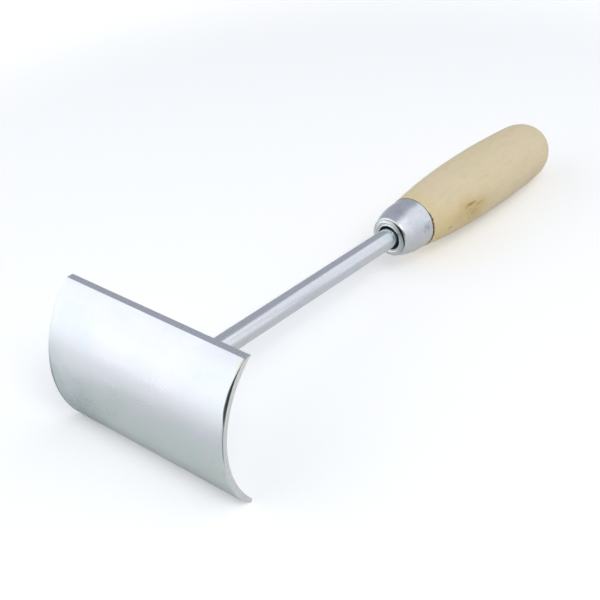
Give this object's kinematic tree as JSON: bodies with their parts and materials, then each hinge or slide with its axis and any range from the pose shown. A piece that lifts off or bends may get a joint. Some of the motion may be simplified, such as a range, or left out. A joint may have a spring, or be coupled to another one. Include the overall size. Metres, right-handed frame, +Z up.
{
  "type": "hand draw hoe",
  "caption": "One-hand draw hoe: a fixed curved steel blade welded to a round bar with a ferrule and a turned wooden grip, for scraping soil and cutting weeds.",
  "frame": {"origin": "on the floor under the middle of the tool's box, as it lies at rest on the blade's cutting edge and the underside of the grip", "axes": "+X from the blade to the grip, +Y across the blade, +Z up from the floor; the bar dips 3.6 degrees towards the grip"},
  "size_m": [0.3106, 0.1, 0.0678],
  "materials": {
    "zinc_plate": "bright zinc plated sheet, faintly iridescent",
    "zinc_bar": "bright zinc plated round bar, drawn lengthwise",
    "weld_metal": "zinc plated weld bead, rippled",
    "zinc_ring": "zinc plated, satin",
    "drawn_zinc": "bright zinc plated, drawn and slightly mottled",
    "blond_wood": "pale close-grained hardwood, satin clear lacquer"
  },
  "bodies": {
    "root": {"blade": "zinc_plate", "bar": "zinc_bar", "weld_bead": "weld_metal", "mouth_ring": "zinc_ring", "ferrule": "drawn_zinc", "grip": "blond_wood"}
  },
  "joints": []
}
